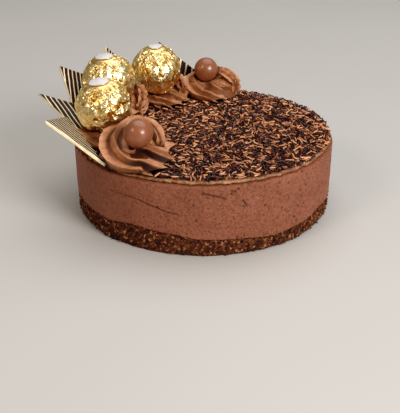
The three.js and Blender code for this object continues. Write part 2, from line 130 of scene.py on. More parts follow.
def cells(p, size, seed):
    """Distances to the nearest and next nearest of a scatter of points, and the nearest one's own number."""
    q = p / size
    base = np.floor(q).astype(np.int64)
    near = np.full(len(p), 9.0)
    second = np.full(len(p), 9.0)
    number = np.zeros(len(p))
    for offset in np.ndindex(3, 3, 3):
        cell = base + offset - 1
        jitter = np.stack([lattice(cell, seed + k) for k in (1, 2, 3)], -1)
        distance = np.linalg.norm(cell + jitter - q, axis=1)
        closer = distance < near
        second = np.where(closer, near, np.minimum(second, distance))
        number = np.where(closer, lattice(cell, seed + 9), number)
        near = np.where(closer, distance, near)
    return near * size, second * size, number


def smoothstep(x, low, high):
    t = np.clip((x - low) / (high - low), 0, 1)
    return t * t * (3 - 2 * t)


def unit(v):
    v = np.asarray(v, float)
    return v / np.linalg.norm(v, axis=-1, keepdims=True)


# ---- mesh helpers ----
def mesh_piece(name, points, faces, materials, face_material=None, values=None, face_values=None,
               flat_uv=None, smooth=True):
    """A mesh object from millimetre points and faces of one size, with numbers per point and per face."""
    mesh = bpy.data.meshes.new(name)
    faces = np.asarray(faces, np.int32)
    count, corners = faces.shape
    mesh.vertices.add(len(points))
    mesh.vertices.foreach_set("co", (np.asarray(points, float) * MM).astype(np.float32).ravel())
    mesh.loops.add(count * corners)
    mesh.loops.foreach_set("vertex_index", faces.ravel())
    mesh.polygons.add(count)
    mesh.polygons.foreach_set("loop_start", np.arange(0, count * corners, corners, dtype=np.int32))
    mesh.update(calc_edges=True)
    for domain, attributes in (("POINT", values), ("FACE", face_values)):
        for key, numbers in (attributes or {}).items():
            layer = mesh.attributes.new(key, "FLOAT", domain)
            layer.data.foreach_set("value", np.asarray(numbers, np.float32))
    if flat_uv is not None:
        layer = mesh.uv_layers.new(name="flat")
        layer.data.foreach_set("uv", np.asarray(flat_uv, np.float32)[faces.ravel()].ravel())
    for material in materials:
        mesh.materials.append(material)
    if face_material is not None:
        mesh.polygons.foreach_set("material_index", np.asarray(face_material, np.int32))
    mesh.polygons.foreach_set("use_smooth", np.full(count, smooth))
    mesh.validate()
    mesh.update()
    piece = bpy.data.objects.new(name, mesh)
    bpy.context.scene.collection.objects.link(piece)
    return piece


def place(piece, slot, *nodes):
    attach(piece, "root")
    if nodes:
        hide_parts(*nodes)
    return piece


def round_grid(rows, columns):
    """Square faces of a closed band of rows, each with the same number of columns."""
    i, j = np.meshgrid(np.arange(rows - 1), np.arange(columns), indexing="ij")
    i, j = i.ravel(), j.ravel()
    after = (j + 1) % columns
    low, high = i * columns, (i + 1) * columns
    return np.stack([low + j, low + after, high + after, high + j], 1)


def full_turn(count, start=0.0):
    """Angles that go once round."""
    return np.linspace(start, start + 2 * pi, count, endpoint=False)


def banded(name, rings, material, **values):
    """A mesh piece that runs through rings of points, with lists of numbers for each ring."""
    joined = {key: join(numbers) for key, numbers in values.items()}
    faces = round_grid(len(rings), len(rings[0]))
    return mesh_piece(name, join(rings), faces, [material], values=joined)


# ---- materials ----
WHITE = (255, 255, 255)


def scene_colour(colour):
    """Three numbers are an 8-bit display colour, and four are a scene colour already."""
    if len(colour) == 4:
        return colour
    parts = [c / 255 for c in colour]
    return (*(c / 12.92 if c <= 0.04045 else ((c + 0.055) / 1.055) ** 2.4 for c in parts), 1.0)


class Shader:
    """A small builder for one Principled material with procedural inputs."""

    def __init__(self, name, colour, roughness, **sockets):
        self.material = bpy.data.materials.new(name)
        self.material.use_nodes = True
        self.nodes = self.material.node_tree.nodes
        self.links = self.material.node_tree.links
        self.main = self.nodes["Principled BSDF"]
        sockets.update(Base_Color=scene_colour(colour), Roughness=roughness)
        for key, value in sockets.items():
            self.main.inputs[key.replace("_", " ")].default_value = value
        self.where = self.add("TexCoord", "Object", {})
        self.height = None

    def add(self, kind, output, inputs, **settings):
        """One output of a new node, whose inputs are constants or other nodes' outputs."""
        node = self.nodes.new("ShaderNode" + kind)
        for key, value in settings.items():
            setattr(node, key, value)
        for key, value in inputs.items():
            if isinstance(value, bpy.types.NodeSocket):
                self.links.new(value, node.inputs[key])
            else:
                node.inputs[key].default_value = scene_colour(value) if isinstance(value, tuple) else value
        return node.outputs[output]

    def noise(self, size, detail=3.0, roughness=0.55):
        """Noise whose features are about size millimetres across."""
        where = self.add("Mapping", "Vector", {"Vector": self.where, "Scale": [1000 / size] * 3})
        inputs = {"Vector": where, "Scale": 1.0, "Detail": detail, "Roughness": roughness}
        return self.add("TexNoise", "Fac", inputs)

    def value(self, key):
        return self.add("Attribute", "Fac", {}, attribute_name=key)

    def ramp(self, source, stops):
        node = self.nodes.new("ShaderNodeValToRGB")
        elements = node.color_ramp.elements
        while len(elements) < len(stops):
            elements.new(0.5)
        for element, (position, colour) in zip(elements, stops):
            element.position = position
            element.color = scene_colour(colour)
        self.links.new(source, node.inputs["Fac"])
        return node.outputs["Color"]

    def mottled(self, size, detail, low, high, at=(0.3, 0.7), **more):
        """Two colours mixed by noise: plain low below the first place in at, plain high above the second."""
        return self.ramp(self.noise(size, detail, **more), [(at[0], low), (at[1], high)])

    def span(self, source, low, high, to_low=0.0, to_high=1.0):
        inputs = {"Value": source, "From Min": low, "From Max": high, "To Min": to_low, "To Max": to_high}
        return self.add("MapRange", "Result", inputs, interpolation_type="SMOOTHSTEP")

    def mix(self, amount, first, second, blend="MIX"):
        return self.add("Mix", 2, {0: amount, 6: first, 7: second}, data_type="RGBA", blend_type=blend)

    def math(self, operation, first, second=0.0):
        return self.add("Math", 0, {0: first, 1: second}, operation=operation)

    def bump(self, size, detail, depth, strength=1.0, **more):
        """Adds relief of about depth millimetres, size across."""
        inputs = {"Strength": strength, "Distance": depth * MM, "Height": self.noise(size, detail, **more)}
        if self.height is not None:
            inputs["Normal"] = self.height
        self.height = self.add("Bump", "Normal", inputs)

    def finish(self, colour, roughness=None):
        for source, key in ((colour, "Base Color"), (roughness, "Roughness"), (self.height, "Normal")):
            if source is not None:
                self.links.new(source, self.main.inputs[key])
        return self.material


def plain_material(name, colour, roughness, mottle, relief=None, **sockets):
    """One mottled colour with or without a fine relief."""
    s = Shader(name, colour, roughness, **sockets)
    if relief:
        s.bump(*relief)
    return s.finish(s.mottled(*mottle))


def filling_material():
    s = Shader("mousse", (146, 90, 66), 0.6, Specular_IOR_Level=0.4)
    cloud = s.mottled(16, 4, (142, 85, 60), (157, 97, 74))
    fine = s.mottled(1.5, 4, (188, 176, 168), WHITE, (0.3, 0.55), roughness=0.7)
    # Painted shade: the air holes and marks on the side are darkened towards deep brown.
    colour = s.mix(s.value("pit"), s.mix(1.0, cloud, fine, "MULTIPLY"), (46, 17, 9))
    s.bump(1.3, 4, 0.7, roughness=0.75)
    s.bump(3.2, 3, 0.6, 0.6)
    return s.finish(colour)


def crumb_material():
    s = Shader("biscuit_crumb", (70, 42, 30), 0.85, Specular_IOR_Level=0.3)
    grain = s.ramp(s.value("grain"), [
        (0.0, (62, 27, 13)), (0.4, (112, 60, 35)), (0.85, (148, 90, 58)), (0.98, (204, 146, 102)),
    ])
    fine = s.mottled(0.7, 3, (150, 150, 150), WHITE)
    # Painted shade: the crevices between the crumb lumps are darkened towards near black.
    colour = s.mix(s.value("pit"), s.mix(1.0, grain, fine, "MULTIPLY"), (22, 8, 4))
    s.bump(0.6, 3, 0.2, 0.8)
    return s.finish(colour)


def nut_material():
    mottle = (1.5, 2, (140, 88, 54), (204, 156, 112), (0.35, 0.65))
    return plain_material("nut_speck", (196, 148, 104), 0.6, mottle, (0.4, 2, 0.08, 0.5))


def layer_material():
    s = Shader("top_cream", (150, 108, 78), 0.6)
    tan = s.mottled(4, 5, (96, 57, 34), (184, 134, 94), roughness=0.65)
    s.bump(1.2, 3, 0.2, 0.6)
    # Painted shade: under darkens the rim's lower edge into a shadow line, and the bed among the strands to
    # near black.
    return s.finish(s.mix(s.value("under"), tan, (26, 9, 6)))


def strand_material(name, dark, light, roughness):
    s = Shader(name, dark, roughness)
    s.bump(0.5, 2, 0.05, 0.4)
    return s.finish(s.ramp(s.value("tint"), [(0.0, dark), (1.0, light)]))


def cream_material():
    s = Shader("piped_cream", (172, 122, 90), 0.55, Specular_IOR_Level=0.25)
    cloud = s.mottled(3.5, 5, (214, 203, 194), WHITE, (0.3, 0.62), roughness=0.65)
    # Painted shade: groove runs the cream from its lit colour down to near black in grooves, under leaf
    # edges, in tears, in the heart and beside the balls.
    depth = s.ramp(s.value("groove"), [
        (0.0, (206, 153, 118)), (0.3, (184, 131, 97)), (0.6, (144, 90, 56)), (1.0, (48, 18, 7)),
    ])
    s.bump(1.1, 4, 0.24, 0.8, roughness=0.65)
    return s.finish(s.mix(1.0, depth, cloud, "MULTIPLY"))


def foil_material():
    s = Shader("gold_foil", (0.95, 0.72, 0.33, 1), 0.3, Metallic=1.0, Specular_Tint=(1.0, 0.82, 0.45, 1),
               Coat_Weight=0.25, Coat_Roughness=0.12, Coat_Tint=(1.0, 0.93, 0.75, 1))
    # Painted light and shade on the facets: dark brown in creases and on the underside, pale gold on facets
    # that face the light, with a little random spread.
    tone = s.math("ADD", s.value("tone"), s.span(s.noise(1.3), 0.3, 0.7, -0.12, 0.12))
    colour = s.ramp(tone, [
        (0.0, (0.3, 0.11, 0.02, 1)), (0.25, (0.72, 0.4, 0.1, 1)), (0.5, (0.95, 0.68, 0.27, 1)),
        (0.85, (1.0, 0.85, 0.5, 1)),
    ])
    s.bump(1.4, 3, 0.12, 0.4)
    return s.finish(colour, s.span(s.noise(3), 0.3, 0.7, 0.24, 0.42))


def sticker_material():
    mottle = (4, 3, (207, 208, 210), (219, 220, 223))
    return plain_material("white_paper", (216, 214, 213), 0.45, mottle, (0.5, 2, 0.02, 0.3))


def sticker_rim_material():
    mottle = (2, 2, (214, 174, 142), (236, 206, 180))
    return plain_material("rose_gold_rim", (226, 190, 160), 0.3, mottle, Metallic=0.6)


def malt_material():
    mottle = (7, 3, (132, 80, 56), (150, 94, 67))
    return plain_material("milk_chocolate", (136, 84, 62), 0.3, mottle, (1.6, 2, 0.05, 0.4),
                          Coat_Weight=0.25, Coat_Roughness=0.22)


def shard_material():
    """Dark bands between ivory lines, which lie at every whole number of the flat map's first coordinate."""
    s = Shader("striped_chocolate", (238, 222, 186), 0.5, Specular_IOR_Level=0.2)
    flat_map = s.add("UVMap", "UV", {}, uv_map="flat")
    along = s.add("SeparateXYZ", "X", {"Vector": flat_map})
    wander = s.span(s.noise(7, 2), 0.2, 0.8, -0.05, 0.05)
    across = s.math("FRACT", s.math("ADD", along, wander))
    edge = s.math("ABSOLUTE", s.math("SUBTRACT", across, 0.5))
    dark = s.span(edge, 0.35, 0.38, 1.0, 0.0)
    ivory = s.mottled(6, 3, (230, 212, 172), (246, 234, 204))
    brown = s.mottled(4, 3, (34, 10, 8), (54, 20, 16))
    s.bump(2.5, 3, 0.08, 0.4)
    return s.finish(s.mix(dark, ivory, brown))


def ivory_material():
    mottle = (3, 3, (232, 212, 172), (248, 238, 210))
    return plain_material("ivory_chocolate", (240, 224, 190), 0.45, mottle, (1.0, 3, 0.1, 0.4))


def floor_material():
    return plain_material("pale_floor", (196, 195, 193), 0.6, (400, 2, (194, 193, 191), (199, 198, 196)))


# ---- cake layers ----
def crumb_line(angle):
    """Height of the crumb base at the rim for angles in radians."""
    count = len(CRUMB_LINE)
    line = np.array(CRUMB_LINE)
    turn = ((angle / pi + 1) / 2 * count) % count
    start = np.floor(turn).astype(int) % count
    part = turn - np.floor(turn)
    part = part * part * (3 - 2 * part)
    return line[start] * (1 - part) + line[(start + 1) % count] * part


def around(angle, height, radius):
    return np.stack([radius * np.cos(angle), radius * np.sin(angle), height + 0 * angle], -1)


# Air holes in the filling's side: spacing, seed, reach, depth, and the share of places that hold one.
AIR_HOLES = [(3.6, 341, 0.95, 0.8, 0.55), (2.1, 372, 0.62, 0.5, 0.65), (1.4, 434, 0.48, 0.32, 0.7)]
# Marks on it: points as (degrees, height), depth and half-width.
MARKS = [
    ([(-131, 32.4), (-128.9, 32.1), (-122, 31.9), (-115.8, 31.4)], 0.35, 0.38),
    ([(-116.5, 31.2), (-110, 28.6), (-104.5, 26.6), (-100.5, 26.0)], 0.6, 0.42),
    ([(-113, 30.4), (-107.5, 28.4)], 0.3, 0.35),
    ([(-90.6, 38.6), (-87.8, 37.9), (-85.8, 37.1), (-83.6, 36.4), (-82, 35.2)], 0.8, 0.6),
    ([(-74.9, 33.6), (-74.1, 32.1), (-73.0, 29.8)], 0.9, 0.5),
    ([(-79.5, 39.8), (-78.7, 39.0), (-77.8, 39.4)], 0.7, 0.5),
]


def line_distance(x, y, line):
    best = np.full(len(x), 1e9)
    for (ax, ay), (bx, by) in zip(line, line[1:]):
        length = (bx - ax) ** 2 + (by - ay) ** 2
        t = np.clip(((x - ax) * (bx - ax) + (y - ay) * (by - ay)) / length, 0, 1)
        best = np.minimum(best, np.hypot(x - ax - t * (bx - ax), y - ay - t * (by - ay)))
    return best


# The filling's upper edge and top as (radius, height), from the side inwards.
FILLING_LID = [(78.6, 42.75), (77.6, FILLING_TOP), (70, FILLING_TOP), (0.01, FILLING_TOP)]


def make_filling(material):
    columns, rows = 980, 60
    angle = full_turn(columns, -pi)
    foot = crumb_line(angle) + GAP
    on_right = smoothstep(angle, radians(-128), radians(-70))
    on_right = np.where(angle > radians(130), 1 - smoothstep(angle, 2.3, 3.0), on_right)
    points = [around(angle, CORE_TOP + GAP, 0.01), around(angle, CORE_TOP + GAP, CORE_RADIUS),
              around(angle, foot - 0.1, CAKE_RADIUS - 3)]
    pit_shades = [np.zeros(columns)] * 3
    for row in range(rows):
        part = row / (rows - 1)
        height = foot + (FILLING_TOP - 0.35 - foot) * part
        base = CAKE_RADIUS - np.interp(part, [0, 0.35, 0.7, 0.965, 1], [0.35, 0.2, 0.25, 0.35, 0.7])
        p = around(angle, height, CAKE_RADIUS)
        drop = 0.12 * rough_noise(p, 14, 3) + (0.02 + 0.1 * on_right) * rough_noise(p, 1.7, 5, 3, 0.7)
        # Painted shade in this row's air holes and marks, 0 to 1.
        pit = np.zeros(columns)
        for spacing, seed, reach, depth, share in AIR_HOLES:
            near, _, number = cells(p, spacing, seed)
            radius = reach * (0.45 + 0.55 * ((number * 7.3) % 1))
            there = number < share * (0.1 + 0.9 * on_right)
            bowl = np.where(there, np.clip(1 - near / radius, 0, 1), 0)
            drop -= depth * bowl ** 0.7
            pit = np.maximum(pit, np.clip(bowl * 2.2, 0, 1) * min(1, depth * 1.6))
        for line, depth, width in MARKS:
            unrolled = [(radians(a) * CAKE_RADIUS, z) for a, z in line]
            away = line_distance(angle * CAKE_RADIUS, height, unrolled)
            groove = np.exp(-(away / width) ** 2)
            drop += 0.18 * np.exp(-((away - 1.6 * width) / width) ** 2) - depth * groove
            pit = np.maximum(pit, 0.75 * groove * min(1, depth + 0.2))
        points.append(around(angle, height, np.minimum(base + drop, CAKE_RADIUS - 0.02)))
        pit_shades.append(pit)
    waver = 0.25 * smooth_noise(around(angle, 0, CAKE_RADIUS), 3, 8)
    points += [around(angle, height, radius + waver) for radius, height in FILLING_LID]
    pit_shades += [np.zeros(columns)] * len(FILLING_LID)
    return place(banded("mousse_filling", points, material, pit=pit_shades), "filling", "filling")


def make_crumb(material):
    columns, rows = 1000, 26
    angle = full_turn(columns, -pi)
    line = crumb_line(angle)
    edge = rough_noise(around(angle, 0, CAKE_RADIUS), 4.0, 21, 3, 0.6)
    points, grain, pit_shades = [around(angle, 0.0, 0.01)], [np.zeros(columns)], [np.zeros(columns)]
    for row in range(rows + 3):
        part = min(row / (rows - 1), 1.0)
        height = line * part + 0.5 * edge * part
        inset = 0.85 + 0.6 * (1 - smoothstep(part, 0, 0.15)) + (0.35 if part > 0.97 else 0)
        p = around(angle, height, CAKE_RADIUS)
        near, second, number = cells(p, 1.7, 71)
        lump = np.clip(second - near, 0, 0.7) / 0.7
        fine_near, fine_second, _ = cells(p, 0.9, 83)
        fine = np.clip(fine_second - fine_near, 0, 0.4) / 0.4
        drop = 0.5 * lump * (0.4 + 0.6 * number) + 0.2 * fine - 0.45 + 0.35 * rough_noise(p, 5, 23, 2)
        radius = np.minimum(CAKE_RADIUS - inset + drop, CAKE_RADIUS - 0.05)
        if row >= rows:
            radius = (CAKE_RADIUS - 3, CORE_RADIUS, 0.01)[row - rows]
            height = line if row == rows else CORE_TOP
        points.append(around(angle, height, radius))
        grain.append(number)
        # Painted shade, strongest in the crevices between lumps.
        pit_shades.append(0.85 * (1 - smoothstep(lump, 0.0, 0.45)))
    return place(banded("crumb_ring", points, material, grain=grain, pit=pit_shades), "crumb", "crumb_base")


def sphere_points(subdivisions):
    bm = bmesh.new()
    bmesh.ops.create_icosphere(bm, subdivisions=subdivisions, radius=1)
    points = np.array([v.co[:] for v in bm.verts])
    faces = np.array([[v.index for v in f.verts] for f in bm.faces])
    bm.free()
    return unit(points), faces


def swarm(name, shapes, faces, material, values):
    """Many small things of the same layout as one mesh, with one number for each of them."""
    per = len(shapes[0])
    faces = join([faces + k * per for k in range(len(shapes))])
    values = {key: np.repeat(numbers, per) for key, numbers in values.items()}
    return mesh_piece(name, join(shapes), faces, [material], values=values)


def lumps(name, bits, material, seed):
    """Small irregular bits, each given by its middle and size, as one mesh."""
    rng = np.random.default_rng(seed)
    base, tris = sphere_points(2)
    shapes, tint = [], []
    for k, (centre, size) in enumerate(bits):
        squash = rng.uniform(0.65, 1.2, 3)
        turn = np.linalg.qr(rng.normal(size=(3, 3)))[0]
        wobble = 1 + 0.3 * smooth_noise(base + k * 3.7, 0.9, 5)[:, None]
        shape = base * wobble * squash * size @ turn.T + centre
        shape[:, 2] = np.maximum(shape[:, 2], 0.02)
        shapes.append(shape)
        tint.append(rng.uniform(0, 1))
    return place(swarm(name, shapes, tris, material, {"grain": tint, "pit": np.zeros(len(bits))}), "crumb")


def on_side(angle, radius, height):
    return (radius * cos(angle), radius * sin(angle), height)


SIDE_CRUMBS, LINE_CRUMBS, TOP_CRUMBS, NUT_SPECKS = 900, 260, 150, 36


def make_crumbs(material, nut):
    """Loose crumbs on the base's side, above its upper line and on the left of the rim, and nut specks."""
    rng = np.random.default_rng(4)
    crumbs, specks = [], []
    for _ in range(SIDE_CRUMBS):
        a = rng.uniform(-pi, pi)
        height = crumb_line(a) * rng.uniform(0.02, 1.04)
        size = rng.uniform(0.35, 0.85)
        crumbs.append((on_side(a, CAKE_RADIUS - 0.35 - size * 0.9, max(height, size)), size))
    for _ in range(LINE_CRUMBS):
        a = rng.uniform(-pi, pi)
        size = rng.uniform(0.25, 0.6)
        height = crumb_line(a) + rng.exponential(0.9)
        crumbs.append((on_side(a, CAKE_RADIUS - 0.3 - size * 0.8, height), size))
    for _ in range(TOP_CRUMBS):
        a = radians(rng.uniform(-186, -126))
        size = rng.uniform(0.3, 0.8)
        radius = rng.uniform(76.4, 79.2)
        height = LAYER_TOP + size * 0.4 if radius < 78 else rng.uniform(42.4, 45.2)
        crumbs.append((on_side(a, radius, height), size))
    lumps("loose_crumbs", crumbs, material, 5)
    for _ in range(NUT_SPECKS):
        a = rng.uniform(-pi, pi)
        height = crumb_line(a) * rng.uniform(0.1, 0.9)
        size = rng.uniform(0.3, 0.55)
        specks.append((on_side(a, CAKE_RADIUS - 0.25 - size * 0.8, max(height, size)), size))
    lumps("nut_specks", specks, nut, 6)


def from_rosette(x, y, r, margin):
    """Distance from a rosette's middle, as a share of its outline set out by margin."""
    c, s = cos(radians(r["turn"])), sin(radians(r["turn"]))
    dx, dy = x - r["at"][0], y - r["at"][1]
    across, along = (dx * c + dy * s), (dy * c - dx * s)
    return np.hypot(across / (r["ring"][0] + r["rope"] + margin), along / (r["ring"][1] + r["rope"] + margin))


def layer_rise(x, y):
    """How far the cream under the rosettes stands above the rest of the layer."""
    best = np.zeros(np.shape(x))
    for r in ROSETTES:
        best = np.maximum(best, 1 - smoothstep(from_rosette(x, y, r, -2.5), 0.85, 1.05))
    return (ROSETTE_FLOOR - 0.02 - LAYER_TOP) * best


def layer_edge(angle):
    """Outer radius of the top cream, fuller at the front."""
    p = around(angle, 0, 78)
    front = np.exp(-((angle + pi / 2) / 0.75) ** 2)
    return 77.8 + 0.4 * front + 0.75 * rough_noise(p, 5, 41, 4, 0.6)


# The top cream's rim from below as (inset from its edge, height), and the insets of the rings across its top.
LAYER_RIM = [(1.6, 43.05), (0.9, 43.2), (0.35, 43.45), (0.05, 43.9), (0.0, 44.3), (0.2, 44.7), (0.6, 44.93),
             (1.3, LAYER_TOP)]
LAYER_RINGS = (2.2, 3.2, 4.5, 6, 8, 11, 14, 18, 22, 26, 30, 34, 38, 44, 52, 62, 78.5)


def make_layer(material):
    columns = 840
    angle = full_turn(columns, -pi)
    edge = np.minimum(layer_edge(angle), 78.9)
    sag = 0.2 * rough_noise(around(angle, 0, 78), 4, 43, 3)
    points, under = [around(angle, 43.05, 0.01)], [np.ones(columns)]
    for row, (inset, height) in enumerate(LAYER_RIM):
        rough = 0.28 * rough_noise(around(angle, height * 3, 78), 1.8, 47, 3)
        points.append(around(angle, height + sag * (0.4 if row < 3 else 0.8), edge - inset + rough))
        # Painted shadow along the two lowest rows of the rim.
        under.append(np.full(columns, 0.75 if row < 2 else 0.0))
    for inset in LAYER_RINGS:
        ring = around(angle, LAYER_TOP, np.maximum(edge - inset, 0.01))
        rough = 0.2 * rough_noise(ring, 4, 51, 3)
        ring[:, 2] += sag * 0.8 * max(0, 1 - inset / 6) + rough + layer_rise(ring[:, 0], ring[:, 1])
        points.append(ring)
        # Painted shade on the bed under the strands, fading in between about 1.6 and 3.2 mm in from the edge.
        under.append(smoothstep(np.full(columns, inset) + 1.2 * rough_noise(ring, 5, 53), 1.6, 3.2))
    return place(banded("top_cream_layer", points, material, under=under), "topping", "sprinkled_top")


# ---- piped rosettes ----
ROPE = {"corners": 12, "groove": 0.38, "turn": 262.0, "roll": 0.55, "twist": 0.1, "thinning": 0.45,
        "climb": (0.1, 0.8), "sink": (0.74, 1.0), "skirt": 0.8, "fan": (0.17, 0.42)}
# Each corner of the section where piping began: how far out in rope radii, how high above the floor,
# and how far it stands out past the start.
LEAF_TIPS = np.array([
    (1.3, 1, -3.7), (0.73, 0.8, -7.7), (0.36, 1.9, 3.8), (-0.2, 2.1, 1.3), (-0.68, 3.1, 7.9),
    (-1.46, 4.1, 3.3), (-2.3, 5.7, 8.1), (-2.45, -0.8, 1.3), (-1.6, -0.8, 1.3), (-0.8, -0.8, 1.3),
    (0.05, -0.8, 0.3), (0.9, -0.8, -3.7),
])
# The same a little further on, as (out, above the floor).
LEAVES = np.array([
    (0.9, 3.4), (0.12, 1.8), (-0.05, 5.4), (-1.12, 3.6), (-1.28, 8.5), (-1.95, 8.5), (-2.5, 11.0),
    (-2.5, -0.8), (-1.7, -0.8), (-0.8, -0.8), (0.05, -0.8), (0.7, -0.8),
])


def rope_route(part, r):
    """Where the rope's middle runs: straight from its start to the ring, then clockwise along it."""
    along = part * (r["lead"] + radians(ROPE["turn"]))
    straight = np.maximum(r["lead"] - along, 0)
    angle = -pi / 2 - np.maximum(along - r["lead"], 0)
    return turned((around(angle, 0.0, 1) + np.outer(straight, (1, 0, 0))) * r["ring"], r["turn"])


def turned(points, degrees):
    c, s = cos(radians(degrees)), sin(radians(degrees))
    return points @ np.array([[c, s, 0], [-s, c, 0], [0, 0, 1.0]])


def rope_corners(r, part):
    """The section's twelve corners as (across, up, out) and its middle, for one place along the rope."""
    corner = np.arange(ROPE["corners"])
    climb = smoothstep(part, *ROPE["climb"]) ** 1.3
    height = r["base"] + r["rise"] * climb - r["fall"] * smoothstep(part, *ROPE["sink"])
    taper = 1 - ROPE["thinning"] * smoothstep(part, 0.8, 1)
    reach = r["rope"] * taper * np.where(corner % 2 == 0, 1, 1 - ROPE["groove"])
    angle = corner / ROPE["corners"] * 2 * pi + ROPE["roll"] + ROPE["twist"] * part
    up = height + reach * np.sin(angle)
    in_skirt = (corner >= 7) & (corner <= 9)
    up = np.where(in_skirt, np.minimum(up, ROSETTE_FLOOR - ROPE["skirt"]), up)
    star = np.stack([reach * np.cos(angle), up], -1)
    tip_share = 1 - smoothstep(part, 0, ROPE["fan"][0])
    fan_share = 1 - smoothstep(part, *ROPE["fan"])
    fan = LEAVES * (1 - tip_share) + LEAF_TIPS[:, :2] * tip_share
    fan = np.stack([fan[:, 0] * r["rope"], ROSETTE_FLOOR + r["lift"] * fan[:, 1]], -1)
    flat = star * (1 - fan_share) + fan * fan_share
    out = r["reach"] * LEAF_TIPS[:, 2] * tip_share
    level = height * (1 - fan_share) + (ROSETTE_FLOOR + 0.3) * fan_share
    middle = np.array([-0.7 * r["rope"] * fan_share, level, 0])
    return np.column_stack([flat, out]), middle


def eased(count):
    """Steps from 0 towards 1 that crowd near both ends, where the ridges are."""
    t = np.linspace(0, 1, count, endpoint=False)
    return 0.6 * t + 0.4 * (0.5 - 0.5 * np.cos(pi * t))


def scalloped(corners, per, fan):
    """Runs a rounded groove from each sharp ridge to the next."""
    t = eased(per)[:, None]
    rows = []
    for k in range(0, ROPE["corners"], 2):
        first, low, last = corners[k], corners[k + 1], corners[(k + 2) % ROPE["corners"]]
        pull = 2 * low - (first + last) / 2
        pull[0] = pull[0] * (1 - fan) + low[0] * fan
        rows.append((1 - t) ** 2 * first + 2 * t * (1 - t) * pull + t ** 2 * last)
    return join(rows)


def rope_mesh(r, seed):
    """The piped rope: sharp ridges, rounded grooves, torn edges and a start fanned out into leaves.
    Gives points, faces, the painted shade at each point (grooves, leaf edges, tears), and how far it is from
    the fan, 0 to 1."""
    rings, per = 240, 16
    sides = 6 * per
    torn = r["torn"]
    part = np.linspace(0, 1, rings) ** 1.08
    centre = rope_route(part, r)
    forward = unit(rope_route(part + 0.01, r) - rope_route(part - 0.01, r))
    outward = np.stack([-forward[:, 1], forward[:, 0], np.zeros(rings)], -1)
    length = join([[0], np.cumsum(np.linalg.norm(np.diff(centre, axis=0), axis=1))])
    t = np.tile(eased(per), 6)
    wave = np.sin(pi * t)
    ridge = (1 - wave) ** 4
    # Painted shade along the rope: darker towards the bottom of each groove.
    star_shade = 0.3 * smoothstep(wave, 0.1, 0.8) + 0.5 * smoothstep(wave, 0.76, 1.0)
    segment = np.repeat(np.arange(6), per)
    number = (segment + (t > 0.5)) % 6
    # Painted shade on the fanned leaves: a dark band under each lower leaf's edge, the top leaf shaded on its
    # lower half and lit on its upper, and the rest in mid shade.
    below_edge = smoothstep(t, 0.45, 0.62) * (1 - smoothstep(t, 0.88, 0.99))
    last_leaf = 0.55 - 0.55 * smoothstep(t, 0.4, 0.6)
    leaf_shade = np.select([segment < 2, segment == 2], [0.08 + 0.92 * below_edge, last_leaf], 0.7)
    points, groove, plain = [], [], []
    for i in range(rings):
        corners, middle = rope_corners(r, part[i])
        fan = 1 - smoothstep(part[i], *ROPE["fan"])
        section = scalloped(corners, per, fan)
        at_length = np.full(sides, length[i])
        where = np.stack([at_length, number * 9.0, np.full(sides, seed * 5.0)], -1)
        swell = 0.04 * smooth_noise(where, 9, seed + 1) + torn * 0.13 * smooth_noise(where, 4, seed + 2)
        teeth = 0.35 * np.clip(smooth_noise(where, 1.9, seed + 3), -0.2, 1)
        teeth += 0.35 * torn * smooth_noise(where, 1.3, seed + 4)
        away = section[:, :2] - middle[:2]
        distance = np.maximum(np.linalg.norm(away, axis=1, keepdims=True), 1e-6)
        skin = np.column_stack([at_length, section[:, :2]]) * (0.8, 1, 1.5)
        near, second, _ = cells(skin + seed, 5.0, seed + 6)
        tear = torn * (1 - smoothstep(second - near, 0.15, 1.3)) * (1 - fan)
        bitten = (teeth * ridge + 1.1 * tear)[:, None]
        flat = section[:, :2] + away * (swell * (1 - 0.7 * fan))[:, None] - away / distance * bitten
        p = centre[i] + r["at"] + flat[:, :1] * outward[i] - section[:, 2:3] * forward[i]
        p[:, 2] = flat[:, 1]
        points.append(p)
        plain.append(np.full(sides, 1 - fan))
        # Tears get painted shade as well.
        groove.append(np.clip(star_shade * (1 - fan) + leaf_shade * fan + 0.35 * tear, 0, 1))
    middle = rope_corners(r, 0.0)[1]
    root = centre[0] + r["at"] + middle[0] * outward[0] + 2 * forward[0]
    root[2] = middle[1]
    inner = points[0] * 0.72 + root * 0.28 + 2.2 * forward[0]
    inner[:, 2] = ROSETTE_FLOOR + (inner[:, 2] - ROSETTE_FLOOR) * 0.75
    points = [np.tile(root, (sides, 1)), inner] + points + [np.tile(points[-1].mean(0), (sides, 1))]
    groove = [np.ones(2 * sides)] + groove + [np.ones(sides)]
    plain = [np.zeros(2 * sides)] + plain + [np.ones(sides)]
    return join(points), round_grid(rings + 3, sides), join(groove), join(plain)


def heart_mesh(r, seed):
    """The low cone of cream inside the ring."""
    columns, rows = 72, 14
    angle = full_turn(columns)
    points = []
    for row in range(rows):
        part = row / (rows - 1)
        width = (1 - 0.3 * part) * sqrt(1 - (max(0, part - 0.75) / 0.25) ** 2)
        p = turned(around(angle, 0.6 * r["heart"] * part, width) * r["ring"], r["turn"])
        p = p + r["at"] + (0, 0, ROSETTE_FLOOR)
        p[:, 2] += 0.5 * rough_noise(p, 4, seed) * part
        points.append(p)
    return join(points), round_grid(rows, columns)


def seated(points):
    """Pushes cream out of the places that the balls hold."""
    for at, radius in SEATS:
        away = points - at
        distance = np.linalg.norm(away, axis=1, keepdims=True)
        points = np.where(distance < radius, at + away / np.maximum(distance, 1e-6) * radius, points)
    return points


def beside_balls(points):
    """How deep in the shaded recess round a ball each point lies, 0 to 1."""
    deep = np.zeros(len(points))
    for at, radius in SEATS:
        away = points - at
        distance = np.linalg.norm(away, axis=1)
        near = 1 - smoothstep(distance - radius, 0.4, 4.2)
        deep = np.maximum(deep, near * smoothstep(-away[:, 2] / distance, -0.6, -0.05))
    return deep


